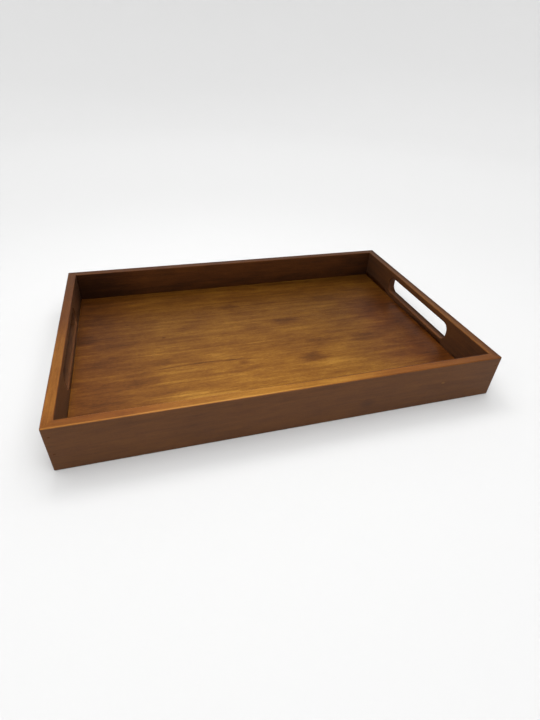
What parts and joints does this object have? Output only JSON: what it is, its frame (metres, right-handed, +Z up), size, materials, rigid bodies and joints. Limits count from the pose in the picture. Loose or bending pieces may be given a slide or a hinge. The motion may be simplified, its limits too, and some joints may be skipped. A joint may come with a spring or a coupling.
{
  "type": "serving tray",
  "caption": "Shallow rectangular wooden serving tray: a mitred frame around a grooved-in bottom panel, with a round-cornered hand slot through each end.",
  "frame": {"origin": "under the middle of the tray, in the plane that it stands on", "axes": "+X along the length towards the right end rail, +Y across the width towards the back rail, +Z up"},
  "size_m": [0.45, 0.3, 0.05],
  "materials": {
    "rail_wood": "brown-stained hardwood under satin lacquer",
    "panel_wood": "figured veneer, brown-stained under satin lacquer",
    "brad_steel": "bright drawn wire",
    "putty": "coloured wood filler, lacquered over"
  },
  "bodies": {
    "root": {"front_rail": "rail_wood", "back_rail": "rail_wood", "left_end_rail": "rail_wood", "right_end_rail": "rail_wood", "bottom_panel": "panel_wood", "corner_brads": "brad_steel", "brad_putty": "putty"}
  },
  "joints": []
}
